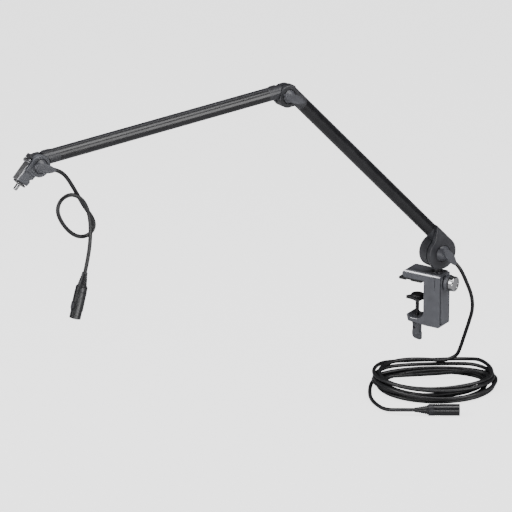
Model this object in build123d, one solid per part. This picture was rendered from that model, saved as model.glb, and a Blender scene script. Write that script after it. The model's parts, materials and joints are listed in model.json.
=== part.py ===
from build123d import *

# Two-section desk boom arm with a screw clamp, a built-in three-pin audio cable and a threaded stud for a
# microphone. Millimetres. The origin is on the clamp screw's axis, on the upper pad's contact face.
# +Z is up and +X runs from the jaw's tip to the clamp's spine.
import os
from math import cos, pi, radians, sin, tan

os.makedirs("parts", exist_ok=True)

# Clamp: a C-shaped frame, seen from its side in XZ
JAW_TIP_X = -19.5
JAW_TIP_R = 6.0
SPINE_IN_X = 20.0
SPINE_OUT_X = 50.0
CLAMP_TOP_Z = 19.0
SPINE_BOTTOM_Z = -71.0
CLAMP_HALF_DEPTH = 17.0
LOWER_TIP_X = -11.0
LOWER_LIP_Z = -57.0
DISH_Z = -62.0
THROAT_R = 14.0
TOP_COVER_T = 2.2
TOP_COVER_INSET = 1.8
REAR_COVER_T = 3.0
REAR_COVER_PROUD = 1.5
REAR_GROOVE = 3.0
REAR_LIP = 1.5

# Rubber pad under the upper jaw
PAD_T = 4.5
PAD_TIP_X = -26.0
PAD_END_X = 16.0
PAD_HALF_DEPTH = 15.5
PAD_GROOVE_X = (-13.0, -3.6)
PAD_GROOVE_DEEP = 1.6

# Clamp screw, its pressure plate and its grip
SCREW_R = 3.0
NUT_R = 6.5
PLATE_TOP_Z = -25.0
PLATE_SIDE = 27.0
PLATE_T = 5.0
PLATE_PAD_T = 3.5
PLATE_PAD_R = 10.5
PLATE_HOLLOW_R = 34.0
GRIP_GAP = 3.0
GRIP_HUB_R = 7.4
GRIP_HUB_LONG = 15.0
GRIP_WIDE = 19.0
GRIP_THICK = 5.0
GRIP_HIGH = 14.0
GRIP_TURN = -15.4
CROSS_HOLE_R = 2.2

# Post, bush and lock screw
POST_X = 35.0
POST_R = 6.0
BUSH_WALL = 2.0
BUSH_BOTTOM_Z = -42.0
POST_BOTTOM_Z = -38.0
LOCK_Z = 4.0
LOCK_SCREW_R = 3.0
LOCK_BOSS_R = 8.0
LOCK_KNOB_R = 13.5
LOCK_KNOB_X = 54.0
LOCK_KNOB_T = 6.0
LOCK_RING_T = 2.6
LOCK_CAP_T = 7.4
SLOT_IN = 9.0
NECK_NUT_R = 7.0
NECK_NUT_HIGH = 5.5
FOOT_R = 7.4

# Arm: spans are from pivot to pivot, rises are angles above the horizon
PIVOT_Z = 54.0
ARM_YAW = 247.6
LOWER_SPAN = 440.0
UPPER_SPAN = 457.0
LOWER_RISE = 45.7
UPPER_RISE = -2.6
HEAD_RISE = -45.0
TUBE_R = 10.0
TUBE_WALL = 1.5
GLAND_LONG = 9.6
SPIGOT_LONG = 30.0
BOLT_R = 3.0
BOLT_HEAD_R = 7.5
GLAND_STEM_R = 4.0
GLAND_STEM_LONG = 7.0
GLAND_NUT_R = 5.4
GLAND_NUT_T = 3.0

# Hinges: radius of the discs, half of the joint's thickness, distance from the pivot to the tube's end
BASE_R = 26.5
BASE_HALF = 15.0
BASE_CHEEK_T = 7.5
BASE_TUBE_START = 42.0
GLAND_DROP = 10.0
GLAND_AIM = 63.0
GLAND_Y = -9.4
ELBOW_R = 18.0
ELBOW_TUBE_START = 36.0
HEAD_R = 17.0
HEAD_TUBE_START = 36.0
HEAD_GLAND_DROP = 32.0
HEAD_GLAND_AIM = 24.0
HEAD_GLAND_Y = -5.2
WASHER_T = 0.6
WASHER_GAP = 0.1

# Wing knobs
KNOB_LONG = 45.0
KNOB_WIDE = 14.0
KNOB_TIP_R = 2.2
KNOB_ROOT_SCALE = 0.66
KNOB_NECK_SHARE = 0.6
BASE_KNOB_HUB_R = 13.0
KNOB_HUB_R = 10.8
BASE_KNOB_OUT = 20.0
ELBOW_KNOB_OUT = 15.5
HEAD_KNOB_OUT = 13.0
BASE_KNOB_TURN = 54.0
ELBOW_KNOB_TURN = 25.6
HEAD_KNOB_TURN = 20.3
DISH_DEEP = 3.0
DISH_SLOPE = 2.0
DISH_GAP = 0.9

# Cable covers on top of the tubes
COVER_WIDE = 8.0
COVER_PROUD = 1.2
COVER_AIR = 0.35

# Microphone head
BLOCK_X = (12.0, 38.0)
BLOCK_LOW_Z = -2.4
BLOCK_HIGH_Z = 17.6
BLOCK_HALF = 6.0
HEAD_PLATE_T = 2.0
HEAD_PLATE_START = 4.0
HEAD_PIN_R = 2.0
STUD_Z = 7.6
STUD_R = 3.175
STUD_SHANK_R = 2.5
STUD_SHANK_LONG = 10.0
STUD_LONG = 11.0
FLANGE_R = 10.5
FLANGE_T = 1.6

# Cable and connectors
CABLE_R = 3.1
FLOOR_Z = -185.0
CONNECTOR_R = 9.5
CONNECTOR_LONG = 72.0
BOOT_LONG = 22.0
COLLAR_LONG = 8.0
PIN_CIRCLE_R = 4.7
PIN_R = 1.2
COIL_CENTRE = (19.9, 22.1)
COIL_TURN = 31.6
COIL_OUTER = (107.0, 96.0)
COIL_INNER = (62.0, 45.0)
COIL_HIGH = 20.0
LATCH_X = (46.5, 57.5)
LATCH_HALF = 3.2
LATCH_LOW = 7.7
LATCH_PROUD = 1.3
NOSE_X = 59.5
NOSE_R = 8.8

RUNNING = 0.05
CLEAR = 0.3
JAW_UNDER_Z = PAD_T
FRAME_TOP_Z = CLAMP_TOP_Z - TOP_COVER_T
PLATE_LOW_Z = PLATE_TOP_Z - PLATE_PAD_T - PLATE_T
GRIP_TOP_Z = SPINE_BOTTOM_Z - GRIP_GAP
GRIP_WING_Z = GRIP_TOP_Z - GRIP_HUB_LONG
BASE_RISE_Z = BASE_R - TUBE_R
ELBOW_RISE_Z = ELBOW_R - TUBE_R
HEAD_RISE_Z = HEAD_R - TUBE_R
BASE_GAP_Y = BASE_HALF - BASE_CHEEK_T
HALF_GAP = WASHER_T / 2 + WASHER_GAP

# Frames: ARM has the first pivot as its origin, +X away from the clamp in the arm's plane, and +Y along
# the hinge axes, towards the knobs. The others turn about +Y from it.
ARM = Pos(POST_X, 0, PIVOT_Z) * Rot(0, 0, ARM_YAW)
LOWER = ARM * Rot(0, -LOWER_RISE, 0)
ELBOW = LOWER * Pos(LOWER_SPAN, 0, BASE_RISE_Z - ELBOW_RISE_Z)
UPPER = ELBOW * Rot(0, LOWER_RISE - UPPER_RISE, 0)
WRIST = UPPER * Pos(UPPER_SPAN, 0, ELBOW_RISE_Z - HEAD_RISE_Z)
HEAD = WRIST * Rot(0, UPPER_RISE - HEAD_RISE, 0)
HANG = WRIST * Rot(0, UPPER_RISE, 0)


def on_disc(radius, drop, aim, y):
    """Place on a disc's back edge, drop degrees below the level, with +X pointing out and aim degrees down."""
    return Pos(-radius * cos(radians(drop)), y, -radius * sin(radians(drop))) * Rot(0, 180 - aim, 0)


GLAND = on_disc(BASE_R, GLAND_DROP, GLAND_AIM, GLAND_Y)
HEAD_GLAND = on_disc(HEAD_R, HEAD_GLAND_DROP, HEAD_GLAND_AIM, HEAD_GLAND_Y)


def keep(name, place, *solids):
    """Writes one sub-part, placed in the object's frame."""
    placed = [place * solid for piece in solids for solid in piece.solids()]
    export_step(Compound(placed) if len(placed) > 1 else placed[0], f"parts/{name}.step")


def rod_x(radius, x0, x1, y=0.0, z=0.0):
    return Pos((x0 + x1) / 2, y, z) * Rot(0, 90, 0) * Cylinder(radius, x1 - x0)


def rod_y(radius, y0, y1, x=0.0, z=0.0):
    return Pos(x, (y0 + y1) / 2, z) * Rot(90, 0, 0) * Cylinder(radius, y1 - y0)


def rod_z(radius, z0, z1, x=0.0, y=0.0):
    return Pos(x, y, (z0 + z1) / 2) * Cylinder(radius, z1 - z0)


def block(x0, x1, y0, y1, z0, z1):
    return Pos((x0 + x1) / 2, (y0 + y1) / 2, (z0 + z1) / 2) * Box(x1 - x0, y1 - y0, z1 - z0)


def side_face(sketch, y):
    """A sketch drawn as x, z and laid on the plane at this y."""
    return Plane((0, y, 0), x_dir=(1, 0, 0), z_dir=(0, -1, 0)) * sketch


def slab(sketch, y0, y1):
    """A sketch drawn as x, z and given its thickness along Y."""
    return extrude(side_face(sketch, y1), amount=y1 - y0)


def outline(*corners):
    """A closed polygon of (x, z, corner radius)."""
    face = make_face(Polyline(*[(x, z) for x, z, _ in corners], close=True))
    for x, z, radius in corners:
        if radius:
            face = fillet(face.vertices().sort_by_distance((x, z, 0))[0], radius)
    return face


def turned(*profile):
    """A solid of revolution about +X from a profile of (x, radius)."""
    points = [(profile[0][0], 0), *profile, (profile[-1][0], 0)]
    return revolve(make_face(Polyline(*points, close=True)), Axis.X)


def edges_at_y(solid, y):
    return solid.edges().filter_by_position(Axis.Y, y - 0.01, y + 0.01)


# --- Clamp ---------------------------------------------------------------------------------------------


def clamp_frame():
    side = outline(
        (JAW_TIP_X, FRAME_TOP_Z, JAW_TIP_R),
        (SPINE_OUT_X, FRAME_TOP_Z, 0),
        (SPINE_OUT_X, SPINE_BOTTOM_Z, 3.0),
        (SPINE_IN_X + 6, SPINE_BOTTOM_Z, 0),
        (LOWER_TIP_X + 3, SPINE_BOTTOM_Z + 2.5, 3.0),
        (LOWER_TIP_X, LOWER_LIP_Z, 0.8),
        (LOWER_TIP_X + 2.5, LOWER_LIP_Z, 0.8),
        (LOWER_TIP_X + 7, DISH_Z, 5.0),
        (SPINE_IN_X, DISH_Z, THROAT_R),
        (SPINE_IN_X, JAW_UNDER_Z, 2.0),
        (JAW_TIP_X, JAW_UNDER_Z, JAW_TIP_R),
    )
    body = slab(side, -CLAMP_HALF_DEPTH, CLAMP_HALF_DEPTH)
    for side_y in (-CLAMP_HALF_DEPTH, CLAMP_HALF_DEPTH):
        body -= Pos(0, side_y, FRAME_TOP_Z) * Rot(45, 0, 0) * Box(200, 2.4, 2.4)
    uprights = body.edges().filter_by(Axis.Z).filter_by_position(Axis.X, SPINE_OUT_X - 0.01, SPINE_OUT_X + 1)
    body = fillet(uprights, 1.2)
    rear = SPINE_OUT_X - REAR_COVER_T
    recess_y = CLAMP_HALF_DEPTH - REAR_LIP
    recess = block(rear, SPINE_OUT_X + 5, -recess_y, recess_y, SPINE_BOTTOM_Z + 5, FRAME_TOP_Z - 4)
    boss = rod_x(LOCK_BOSS_R, rear - 2, SPINE_OUT_X + 2, z=LOCK_Z)
    body = body - recess + boss
    body = body - rod_z(POST_R + BUSH_WALL, BUSH_BOTTOM_Z, CLAMP_TOP_Z, x=POST_X)
    body = body - rod_x(LOCK_SCREW_R + RUNNING, POST_X + 4, SPINE_OUT_X + 10, z=LOCK_Z)
    body = body - rod_z(NUT_R - 2, SPINE_BOTTOM_Z - 5, DISH_Z + 10)
    side_y = -CLAMP_HALF_DEPTH
    slot = slab(Pos(SPINE_OUT_X - SLOT_IN, 5) * SlotOverall(16, 1.6, rotation=90), side_y - 1, side_y + 0.8)
    dot = rod_y(1.3, side_y - 1, side_y + 0.6, x=SPINE_OUT_X - SLOT_IN, z=-6)
    return body - slot - dot


def clamp_top_cover():
    half = CLAMP_HALF_DEPTH - TOP_COVER_INSET
    x0 = JAW_TIP_X + 6.5
    x1 = SPINE_OUT_X - 1.0
    sketch = Pos((x0 + x1) / 2, 0) * RectangleRounded(x1 - x0, 2 * half, 4)
    plate = Pos(0, 0, FRAME_TOP_Z) * extrude(sketch, amount=TOP_COVER_T)
    top = plate.faces().sort_by(Axis.Z)[-1]
    plate = fillet(top.edges(), 0.8)
    long, wide = x1 - x0 - 5, 2 * half - 5
    line = RectangleRounded(long, wide, 2.5) - RectangleRounded(long - 1.4, wide - 1.4, 1.9)
    groove = Pos((x0 + x1) / 2, 0, CLAMP_TOP_Z - 0.35) * extrude(line, amount=1)
    return plate - groove - rod_z(POST_R + BUSH_WALL + CLEAR, FRAME_TOP_Z - 1, CLAMP_TOP_Z + 1, x=POST_X)


def clamp_rear_cover():
    half = CLAMP_HALF_DEPTH - REAR_LIP - REAR_GROOVE
    z0 = SPINE_BOTTOM_Z + 5.4
    z1 = FRAME_TOP_Z - 4.4
    sketch = Pos(0, (z0 + z1) / 2) * RectangleRounded(2 * half, z1 - z0, 4)
    plane = Plane((SPINE_OUT_X - REAR_COVER_T, 0, 0), x_dir=(0, 1, 0), z_dir=(1, 0, 0))
    plate = extrude(plane * sketch, amount=REAR_COVER_T + REAR_COVER_PROUD)
    plate = fillet(plate.faces().sort_by(Axis.X)[-1].edges(), 1.8)
    return plate - rod_x(LOCK_BOSS_R + CLEAR, SPINE_OUT_X - 5, SPINE_OUT_X + 5, z=LOCK_Z)


def upper_jaw_pad():
    mid = JAW_UNDER_Z - 1.6
    side = outline(
        (PAD_TIP_X, 0, 1.2),
        (PAD_GROOVE_X[0], 0, 0.9),
        (PAD_GROOVE_X[0] + 1.5, PAD_GROOVE_DEEP, 0.5),
        (PAD_GROOVE_X[1] - 1.5, PAD_GROOVE_DEEP, 0.5),
        (PAD_GROOVE_X[1], 0, 0.9),
        (PAD_END_X, 0, 1.2),
        (PAD_END_X, JAW_UNDER_Z, 0.4),
        (PAD_TIP_X, JAW_UNDER_Z, 1.2),
    )
    pad = slab(side, -PAD_HALF_DEPTH, PAD_HALF_DEPTH)
    return pad - block(PAD_TIP_X - 1, PAD_END_X + 1, PAD_HALF_DEPTH - 0.8, 20, mid, mid + 0.8)


def clamp_nut():
    """Flanged threaded bush in the lower jaw, its flange under the jaw."""
    low = SPINE_BOTTOM_Z
    barrel = rod_z(NUT_R - 2, low, DISH_Z)
    flange = Pos(0, 0, low - 0.75) * extrude(RegularPolygon(NUT_R, 6), amount=1.5)
    floor = block(LOWER_TIP_X, SPINE_IN_X, -10, 10, low - 1.5, low)
    nut = barrel + (flange & floor)
    return nut - rod_z(SCREW_R + RUNNING, low - 5, DISH_Z + 5)


def post_bush():
    outer = rod_z(POST_R + BUSH_WALL, BUSH_BOTTOM_Z, FRAME_TOP_Z + TOP_COVER_T * 0.6, x=POST_X)
    bore = rod_z(POST_R + RUNNING, POST_BOTTOM_Z - 1, CLAMP_TOP_Z + 5, x=POST_X)
    return outer - bore - rod_x(LOCK_SCREW_R + RUNNING, POST_X + 3, SPINE_OUT_X, z=LOCK_Z)


def pressure_plate():
    """Square plate with hollow sides and raised corners, on the screw's ball end."""
    half = PLATE_SIDE / 2
    sketch = RectangleRounded(PLATE_SIDE, PLATE_SIDE, 2)
    for turn in range(4):
        sketch -= Rot(0, 0, 90 * turn) * Pos(half + PLATE_HOLLOW_R - 2.2, 0) * Circle(PLATE_HOLLOW_R)
    plate = Pos(0, 0, PLATE_LOW_Z) * extrude(sketch, amount=PLATE_T)
    plate = fillet(plate.faces().sort_by(Axis.Z)[-1].edges(), 0.8)
    socket = rod_z(5.5, PLATE_LOW_Z - 3, PLATE_LOW_Z + 1)
    return plate + socket - rod_z(SCREW_R + RUNNING, PLATE_LOW_Z - 5, PLATE_LOW_Z + 2.2)


def pressure_pad():
    pad = rod_z(PLATE_PAD_R, PLATE_TOP_Z - PLATE_PAD_T, PLATE_TOP_Z)
    return fillet(pad.faces().sort_by(Axis.Z)[-1].edges(), 2.2)


def clamp_screw():
    rod = rod_z(SCREW_R, GRIP_WING_Z - 3, PLATE_LOW_Z + 2)
    return chamfer(rod.faces().sort_by(Axis.Z)[-1].edges(), 0.5)


def clamp_grip():
    """Hub with a cross hole, on a flat paddle with rounded lower corners."""
    low = GRIP_WING_Z - GRIP_HIGH
    half = GRIP_WIDE / 2
    hub = rod_z(GRIP_HUB_R, GRIP_WING_Z - 4, GRIP_TOP_Z)
    rim = rod_z(GRIP_HUB_R + 0.8, GRIP_TOP_Z - 2.4, GRIP_TOP_Z)
    sketch = outline(
        (-half, low, 7.5),
        (half, low, 3.0),
        (half, GRIP_WING_Z, 1.5),
        (-half, GRIP_WING_Z, 1.5),
    )
    wing = slab(sketch, -GRIP_THICK / 2, GRIP_THICK / 2)
    wing = fillet(edges_at_y(wing, GRIP_THICK / 2) + edges_at_y(wing, -GRIP_THICK / 2), 0.9)
    cone = Pos(0, 0, GRIP_WING_Z - 3) * Cone(GRIP_THICK / 2, GRIP_HUB_R, 6)
    grip = hub + fillet(rim.edges(), 0.7) + wing + cone
    grip -= rod_y(CROSS_HOLE_R, -20, 20, x=0, z=GRIP_TOP_Z - 7.5)
    return grip - rod_z(SCREW_R, GRIP_WING_Z - 3, GRIP_TOP_Z + 1)


def lock_tip():
    return rod_x(LOCK_SCREW_R, POST_X + POST_R + 0.15, POST_X + POST_R + 3, z=LOCK_Z)


def lock_screw():
    return rod_x(LOCK_SCREW_R, POST_X + POST_R + 3, LOCK_KNOB_X + LOCK_KNOB_T + 1, z=LOCK_Z)


def lock_knob():
    """Round knob with a hub that reaches back to the clamp's boss."""
    x1 = LOCK_KNOB_X + LOCK_KNOB_T
    knob = rod_x(LOCK_KNOB_R, LOCK_KNOB_X, x1, z=LOCK_Z)
    knob = fillet(knob.edges(), 1.2)
    hub = rod_x(LOCK_BOSS_R - 0.6, SPINE_OUT_X + REAR_COVER_PROUD + 0.9, LOCK_KNOB_X + 1, z=LOCK_Z)
    stem = rod_x(LOCK_KNOB_R - 3, x1 - 1, x1 + LOCK_RING_T, z=LOCK_Z)
    return knob + hub + stem - rod_x(LOCK_SCREW_R, SPINE_OUT_X, x1 + 1, z=LOCK_Z)


def lock_ring():
    """Ring with fine flutes, gripped between the knob and its cap."""
    x0 = LOCK_KNOB_X + LOCK_KNOB_T
    ring = rod_x(LOCK_KNOB_R - 0.8, x0, x0 + LOCK_RING_T, z=LOCK_Z)
    for step in range(24):
        flute = rod_x(0.7, x0 - 1, x0 + LOCK_RING_T + 1, y=LOCK_KNOB_R - 0.5)
        ring -= Pos(0, 0, LOCK_Z) * Rot(15 * step, 0, 0) * flute
    return ring - rod_x(LOCK_KNOB_R - 3, x0 - 1, x0 + LOCK_RING_T + 1, z=LOCK_Z)


def lock_cap():
    x0 = LOCK_KNOB_X + LOCK_KNOB_T + LOCK_RING_T
    cap = rod_x(LOCK_KNOB_R - 1.2, x0, x0 + LOCK_CAP_T, z=LOCK_Z)
    cap = fillet(cap.faces().sort_by(Axis.X)[-1].edges(), 1.8)
    hollow = rod_x(LOCK_KNOB_R - 5, x0 + LOCK_CAP_T - 0.8, x0 + LOCK_CAP_T + 2, z=LOCK_Z)
    return cap - hollow


# --- Hinges --------------------------------------------------------------------------------------------


def lens(length, width, tip):
    """Pointed oval: two arcs that meet in rounded tips."""
    radius = (length**2 + width**2) / (4 * width)
    shape = (Pos(0, radius - width / 2) * Circle(radius)) & (Pos(0, width / 2 - radius) * Circle(radius))
    return fillet(shape.vertices(), tip)


def wing_knob(face_y, out, hub_r):
    """Knob on the cheek's outer face at face_y: a round foot in the dish, a cone and a flared oval grip."""
    low = face_y - DISH_DEEP + CLEAR
    high = face_y + out
    neck_y = face_y + out * KNOB_NECK_SHARE
    root = lens(KNOB_LONG * KNOB_ROOT_SCALE, KNOB_WIDE * KNOB_ROOT_SCALE, KNOB_TIP_R * KNOB_ROOT_SCALE)
    crown = lens(KNOB_LONG, KNOB_WIDE, KNOB_TIP_R)
    wing = loft([side_face(root, face_y + CLEAR), side_face(crown, high)])
    wing = fillet(edges_at_y(wing, high), 0.8)
    foot = rod_y(hub_r - DISH_SLOPE, low, face_y + 1)
    flank = Pos(0, (face_y + neck_y) / 2, 0) * Rot(-90, 0, 0) * Cone(hub_r, hub_r * 0.45, neck_y - face_y)
    return wing + foot + flank - rod_y(BOLT_R + RUNNING, low - 1, low + 10)


def hinge_bolt(rear_y, face_y):
    """Bolt with a low round head behind the joint; its free end is in the knob."""
    end = face_y - DISH_DEEP + CLEAR + 9
    head = rod_y(BOLT_HEAD_R, rear_y - 2.4, rear_y)
    head = fillet(head.faces().sort_by(Axis.Y)[0].edges(), 1.2)
    drive = slab(RegularPolygon(2.6, 6), rear_y - 3, rear_y - 1.2)
    return head + rod_y(BOLT_R, rear_y - 0.5, end) - drive


def friction_washer(radius, mid_y):
    ring = rod_y(radius, mid_y - WASHER_T / 2, mid_y + WASHER_T / 2)
    return ring - rod_y(BOLT_R + 1, mid_y - 2, mid_y + 2)


def dish(face_y, hub_r):
    """Shallow cone that is cut round the knob's foot."""
    rim = hub_r + DISH_GAP
    return Pos(0, face_y - DISH_DEEP / 2, 0) * Rot(-90, 0, 0) * Cone(rim - DISH_SLOPE, rim, DISH_DEEP)


def spigot(tube_z, x0, x1):
    return rod_x(TUBE_R - TUBE_WALL, x0, x1, z=tube_z) - rod_x(CABLE_R, x0 - 1, x1 + 1, z=tube_z)


def base_post():
    neck = rod_z(POST_R, POST_BOTTOM_Z, PIVOT_Z - BASE_R + 4, x=POST_X)
    return chamfer(neck.faces().sort_by(Axis.Z)[0].edges(), 1.0)


def neck_nut():
    low = CLAMP_TOP_Z + CLEAR
    nut = Pos(POST_X, 0, low) * extrude(RegularPolygon(NECK_NUT_R, 8), amount=NECK_NUT_HIGH)
    return nut - rod_z(POST_R, low - 1, low + NECK_NUT_HIGH + 1, x=POST_X)


def base_hinge_head():
    """Thick rear disc on the post; the cable's gland is screwed into its back edge."""
    front = BASE_GAP_Y - 2 * WASHER_GAP - WASHER_T
    body = rod_y(BASE_R, -BASE_HALF, front)
    body = fillet(edges_at_y(body, -BASE_HALF), 3.0)
    foot = rod_z(FOOT_R, -BASE_R - 2.5, -BASE_R + 8) & block(-20, 20, -20, front, -BASE_R - 9, 0)
    waist = rod_y(BASE_R - 4, front - 2, front + 1)
    body = body + foot - (rod_y(BASE_R + 2, front - 1.2, front + 1) - waist)
    body = body - rod_z(POST_R, -BASE_R - 5, -BASE_R + 4) - rod_y(BOLT_R + RUNNING, -30, 30)
    return body - GLAND * gland_room()


def gland_room():
    """Bore for the gland's stem and the flat recess for its hexagon."""
    return rod_x(GLAND_STEM_R, -GLAND_STEM_LONG, 1) + rod_x(GLAND_NUT_R + 0.8, 0, GLAND_LONG + 3)


def cable_gland():
    """Threaded stem, hexagon and a tapered rubber sleeve, along +X from the wall."""
    stem = rod_x(GLAND_STEM_R, -GLAND_STEM_LONG, 0.5)
    hexagon = extrude(Plane.YZ * RegularPolygon(GLAND_NUT_R, 6, rotation=90), amount=GLAND_NUT_T)
    sleeve = turned((GLAND_NUT_T, 4.7), (GLAND_LONG, CABLE_R + 0.6))
    return stem + hexagon + sleeve


def lower_base_fitting():
    """Front cheek of the first hinge, its web up to the tube, and the spigot in the tube."""
    web = make_face(
        Polyline((0, BASE_R), (BASE_TUBE_START + 2, BASE_R))
        + ThreePointArc((BASE_TUBE_START + 2, BASE_R), (BASE_TUBE_START - 9, BASE_R - 13), (BASE_R - 0.5, 2))
        + Polyline((BASE_R - 0.5, 2), (0, 2), (0, BASE_R))
    )
    sketch = Circle(BASE_R) + web
    cheek = slab(sketch, BASE_GAP_Y, BASE_HALF)
    cheek = fillet(edges_at_y(cheek, BASE_HALF), 1.2)
    body = rod_x(TUBE_R, 10, BASE_TUBE_START, z=BASE_RISE_Z)
    body = body - rod_y(BASE_R + COVER_AIR, -BASE_HALF - 1, BASE_GAP_Y)
    body = body + spigot(BASE_RISE_Z, BASE_TUBE_START - 1, BASE_TUBE_START + SPIGOT_LONG)
    body = body - rod_x(CABLE_R + 0.5, 0, BASE_TUBE_START + 1, z=BASE_RISE_Z)
    return body + cheek - dish(BASE_HALF, BASE_KNOB_HUB_R) - rod_y(BOLT_R + RUNNING, 0, 30)


def tube(start, end, z):
    return rod_x(TUBE_R, start, end, z=z) - rod_x(TUBE_R - TUBE_WALL, start - 1, end + 1, z=z)


def half_lap(radius, tube_z, tube_end, front, neck=35, room=COVER_AIR):
    """One half of a hinge whose tube lies on the -X side: a cheek in front of the middle or behind it."""
    y0, y1 = (HALF_GAP, TUBE_R) if front else (-TUBE_R, -HALF_GAP)
    outer = y1 if front else y0
    meet = (-radius * cos(radians(neck)), -radius * sin(radians(neck)))
    tube_under = (-tube_end, tube_z - TUBE_R + 1)
    web = make_face(
        Polyline((0, radius), (-tube_end, radius), tube_under)
        + ThreePointArc(tube_under, (-radius - 5, tube_under[1] - neck / 18), meet)
        + Polyline(meet, (0, 0), (0, radius))
    )
    round_part = rod_x(TUBE_R, -tube_end, 2, z=tube_z)
    cheek = slab(Circle(radius) + web, y0, y1)
    cheek = fillet(edges_at_y(cheek, outer), 1.5)
    blend_long = tube_end - radius + 3
    blend = Pos(3.5 - radius - blend_long / 2, 0, tube_z) * Rot(0, 90, 0) * Cone(TUBE_R, TUBE_R + 6, blend_long)
    shaped = cheek & (blend + slab(Circle(radius + 1), -30, 30))
    away = (-TUBE_R - 1, HALF_GAP) if front else (-HALF_GAP, TUBE_R + 1)
    round_part = round_part - rod_y(radius + room, away[0], away[1])
    round_part = round_part & block(-tube_end, -2, -TUBE_R, TUBE_R, -50, 50)
    stem = spigot(tube_z, -tube_end - SPIGOT_LONG, -tube_end + 1)
    bore = rod_x(CABLE_R + 0.5, -tube_end - 1, -radius + 3, z=tube_z)
    half = round_part + shaped + stem - bore
    return half - rod_y(BOLT_R + RUNNING, -30, 30)


def lower_elbow_fitting():
    return half_lap(ELBOW_R, ELBOW_RISE_Z, ELBOW_TUBE_START, True) - dish(TUBE_R, KNOB_HUB_R)


def upper_elbow_fitting():
    """The mirror half, with room for the cable cover that goes round the other cheek."""
    room = COVER_PROUD + COVER_AIR
    return Rot(0, 0, 180) * half_lap(ELBOW_R, ELBOW_RISE_Z, ELBOW_TUBE_START, True, room=room)


def upper_head_fitting():
    return half_lap(HEAD_R, HEAD_RISE_Z, HEAD_TUBE_START, False, neck=14) - HEAD_GLAND * gland_room()


def cover_strip(x0, x1, tube_z):
    """Strip over the cable channel: flat on top, hollow underneath where it sits on the tube."""
    low = tube_z + TUBE_R - 1.2
    strip = block(x0, x1, -COVER_WIDE / 2, COVER_WIDE / 2, low, tube_z + TUBE_R + COVER_PROUD)
    top = strip.edges().filter_by(Axis.X).filter_by_position(Axis.Z, tube_z + TUBE_R, tube_z + 2 * TUBE_R)
    return fillet(top, 0.7) - rod_x(TUBE_R, x0 - 1, x1 + 1, z=tube_z)


def lower_cover():
    """Runs from over the first hinge to the elbow, where half its width follows the cheek round."""
    x_end = LOWER_SPAN
    strip = cover_strip(-11.6, x_end, BASE_RISE_Z) - rod_y(BASE_R + COVER_AIR, -BASE_HALF, BASE_HALF)
    at_elbow = Pos(LOWER_SPAN, 0, BASE_RISE_Z - ELBOW_RISE_Z)
    keep_clear = at_elbow * block(-ELBOW_R - 8, 10, -TUBE_R, HALF_GAP + 0.2, 0, 40)
    ring = rod_y(ELBOW_R + COVER_PROUD, HALF_GAP + 0.2, TUBE_R - 2) - rod_y(ELBOW_R, 0, TUBE_R)
    sweep = slab(make_face(Polyline((0, 0), (0, 40), (50, 40), (0, 0))), 0, TUBE_R)
    return strip - keep_clear - at_elbow * lower_elbow_fitting() + at_elbow * (ring & sweep)


def upper_cover():
    x1 = UPPER_SPAN - 3.4
    strip = cover_strip(7.4, x1, ELBOW_RISE_Z)
    keep_clear = block(0, ELBOW_R + 8, -HALF_GAP - 0.2, TUBE_R, 0, 40)
    nose = Pos(x1, 0, 0) * Rot(0, 0, 45) * Box(COVER_WIDE * 0.7, COVER_WIDE * 0.7, 60)
    tip = block(x1 - COVER_WIDE / 2, x1 + 10, -20, 20, -30, 60) - Pos(-COVER_WIDE / 2, 0, 0) * nose
    at_wrist = Pos(UPPER_SPAN, 0, ELBOW_RISE_Z - HEAD_RISE_Z)
    return strip - keep_clear - tip - upper_elbow_fitting() - at_wrist * upper_head_fitting()


# --- Microphone head -----------------------------------------------------------------------------------


def head_cheek():
    """Front cheek of the last hinge with the block that carries the stud."""
    web = make_face(
        Polyline((0, HEAD_R), (BLOCK_X[0] + 6, HEAD_R), (BLOCK_X[0] + 6, BLOCK_LOW_Z))
        + Polyline((BLOCK_X[0] + 6, BLOCK_LOW_Z), (HEAD_R - 1, -4), (0, 0), (0, HEAD_R))
    )
    cheek = slab(Circle(HEAD_R) + web, HALF_GAP, TUBE_R - 0.4)
    cheek = fillet(cheek.faces().sort_by(Axis.Y)[-1].edges(), 0.9)
    side = outline(
        (BLOCK_X[0] - 3, BLOCK_HIGH_Z, 0),
        (BLOCK_X[1], BLOCK_HIGH_Z, 1.0),
        (BLOCK_X[1] - 2, BLOCK_LOW_Z, 1.5),
        (BLOCK_X[1] - 9, BLOCK_LOW_Z - 1, 0.8),
        (BLOCK_X[1] - 12, BLOCK_LOW_Z + 2, 0.8),
        (BLOCK_X[1] - 15, BLOCK_LOW_Z - 2, 0.8),
        (BLOCK_X[0] + 4, BLOCK_LOW_Z - 3, 2.0),
    )
    body = slab(side, -BLOCK_HALF, BLOCK_HALF)
    body = body - rod_y(HEAD_R + COVER_AIR, -BLOCK_HALF - 1, HALF_GAP)
    channel = rod_x(STUD_SHANK_R, BLOCK_X[1] - STUD_SHANK_LONG, BLOCK_X[1] + 5, z=STUD_Z)
    return body + cheek - channel - dish(TUBE_R - 0.4, KNOB_HUB_R) - rod_y(BOLT_R + RUNNING, -30, 30)


def head_plate():
    """Bright face plate with a knuckle at its upper end."""
    x0 = HEAD_PLATE_START
    z0 = BLOCK_HIGH_Z
    side = outline(
        (x0, z0 + 0.2, 0),
        (x0, z0 + HEAD_PLATE_T, 0),
        (BLOCK_X[1], z0 + HEAD_PLATE_T, 1.0),
        (BLOCK_X[1], z0, 0),
        (x0 + 6, z0, 0),
    )
    plate = slab(side, -BLOCK_HALF, BLOCK_HALF) + rod_y(3.2, -BLOCK_HALF, BLOCK_HALF, x=x0 + 1, z=z0 + 3.2)
    return plate - rod_y(HEAD_PIN_R, -20, 20, x=x0 + 1, z=z0 + 3.2) - rod_y(HEAD_R + COVER_AIR, -20, 20)


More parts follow.
